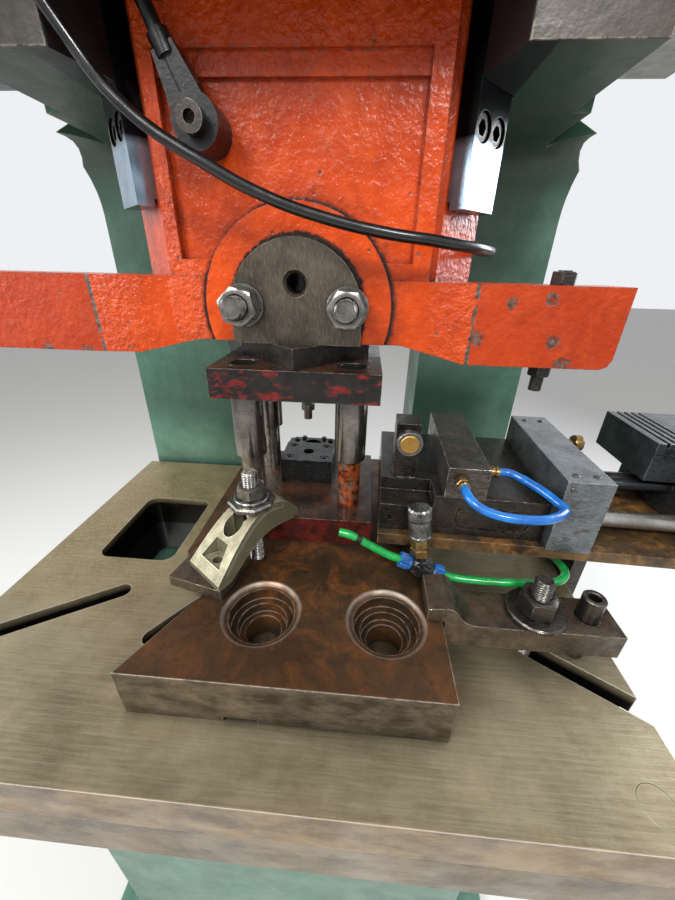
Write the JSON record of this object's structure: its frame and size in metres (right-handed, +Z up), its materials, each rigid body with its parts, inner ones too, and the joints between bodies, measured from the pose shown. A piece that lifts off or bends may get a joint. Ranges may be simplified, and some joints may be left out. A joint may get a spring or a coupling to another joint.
{
  "type": "mechanical stamping press",
  "caption": "Open-back gap frame crank press with red ram, clamped pillar die set on a T-slot bolster, strap clamps and an air gripper feeder.",
  "frame": {"origin": "on the floor plate's underside, under the centre line of the ram", "axes": "+X to the operator's right, +Y to the back of the press, +Z up"},
  "size_m": [0.9446, 1.1019, 1.982],
  "materials": {
    "frame_paint": "semi-gloss green machine enamel, oily and chipped",
    "ram_paint": "thick glossy orange-red brush enamel",
    "casting": "bare cast iron, oiled",
    "ground_steel": "ground steel with scratches",
    "dark_steel": "blackened oily steel",
    "rusty_steel": "brown rusty steel plate",
    "plated": "zinc plated steel",
    "bronze": "bronze",
    "zinc_cast": "cast and yellow passivated",
    "black_rubber": "smooth rubber",
    "black_plastic": "moulded plastic",
    "blue_tube": "clear blue polyurethane",
    "green_tube": "green polyurethane",
    "grey_paint": "grey enamel",
    "start_green": "moulded button",
    "stop_red": "moulded button"
  },
  "bodies": {
    "press": {"base_plate": "frame_paint", "frame": "frame_paint", "frame_bolts": "dark_steel", "bolster_plate": "ground_steel", "riser_plate": "rusty_steel", "lower_shoe": "dark_steel", "guide_posts": "plated", "die_block": "ground_steel", "die_plate": "ground_steel", "arch_clamp": "zinc_cast", "arch_clamp_fasteners": "plated", "packing_block": "dark_steel", "finger_clamp": "rusty_steel", "finger_clamp_fasteners": "dark_steel", "gib_left": "plated", "gib_right": "plated", "gib_screws": "dark_steel", "crank_bushes": "bronze", "front_cover": "frame_paint", "flywheel_guard": "frame_paint", "motor": "frame_paint", "motor_bracket": "frame_paint", "brake_band": "dark_steel", "control_box": "grey_paint", "oil_pump": "grey_paint", "feeder_plate": "rusty_steel", "feeder_bracket": "dark_steel", "feeder_body": "dark_steel", "feeder_clamp_block": "dark_steel", "feeder_end_block": "dark_steel", "guide_rods": "plated", "tube_fittings": "black_plastic", "black_hose": "black_rubber", "blue_tube": "blue_tube", "green_tube": "green_tube", "green_stub": "green_tube", "v_belts": "black_rubber"},
    "crankshaft": {"crankshaft": "casting"},
    "rod": {"connecting_rod": "casting", "rod_cap": "casting", "rod_bolts": "dark_steel", "ball_screw": "plated", "ball_cup": "bronze", "ball_retainer": "casting"},
    "flywheel": {"flywheel": "casting"},
    "motor_pulley": {"motor_pulley": "casting"},
    "ram": {"ram": "ram_paint", "shank_clamp_cap": "ground_steel", "clamp_fasteners": "plated", "ram_bolts": "dark_steel", "shank_plate": "dark_steel", "upper_shoe": "dark_steel", "guide_bushings": "plated", "punch": "ground_steel", "link_rod": "dark_steel"},
    "pump_lever": {"pump_lever": "dark_steel"},
    "feeder_carriage": {"feeder_carriage": "dark_steel"},
    "feed_valve": {"feed_valve_knob": "bronze"},
    "start_button": {"start_button": "start_green"},
    "stop_button": {"stop_button": "stop_red"}
  },
  "joints": [
    {"name": "crankshaft_turn", "type": "hinge", "parent": "press", "child": "crankshaft", "pos_m": [0, 0, 1.64], "axis": [-1, 0, 0], "range_deg": [0, 180]},
    {"name": "rod_swing", "type": "hinge", "parent": "crankshaft", "child": "rod", "pos_m": [0, 0, 1.665], "axis": [-1, 0, 0], "range_deg": [-180.01, 0]},
    {"name": "ram_slide", "type": "slide", "parent": "press", "child": "ram", "axis": [0, 0, -1], "range_m": [0, 0.0501]},
    {"name": "flywheel_spin", "type": "hinge", "parent": "crankshaft", "child": "flywheel", "pos_m": [-0.34, 0, 1.64], "axis": [-1, 0, 0], "continuous": true},
    {"name": "motor_pulley_spin", "type": "hinge", "parent": "press", "child": "motor_pulley", "pos_m": [-0.34, 0.65, 1.64], "axis": [-1, 0, 0], "continuous": true},
    {"name": "pump_lever_swing", "type": "hinge", "parent": "press", "child": "pump_lever", "pos_m": [-0.039, -0.062, 1.369], "axis": [0, -1, 0], "range_deg": [0, 29]},
    {"name": "carriage_slide", "type": "slide", "parent": "press", "child": "feeder_carriage", "axis": [0.9994, -0.0349, 0], "range_m": [-0.05, 0]},
    {"name": "feed_valve_press", "type": "slide", "parent": "press", "child": "feed_valve", "axis": [0.0349, 0.9994, 0], "range_m": [0, 0.006], "stiffness_N_per_m": 800},
    {"name": "start_button_press", "type": "slide", "parent": "press", "child": "start_button", "axis": [0, 1, 0], "range_m": [0, 0.008], "stiffness_N_per_m": 900},
    {"name": "stop_button_press", "type": "slide", "parent": "press", "child": "stop_button", "axis": [0, 1, 0], "range_m": [0, 0.008], "stiffness_N_per_m": 900}
  ],
  "couplings": [
    {"joint": "rod_swing", "follows": "crankshaft_turn", "ratio": -1},
    {"joint": "ram_slide", "follows": "crankshaft_turn", "m_per_rad": 0.015915},
    {"joint": "pump_lever_swing", "follows": "crankshaft_turn", "ratio": 0.16058},
    {"joint": "motor_pulley_spin", "follows": "flywheel_spin", "ratio": 5.8182}
  ]
}
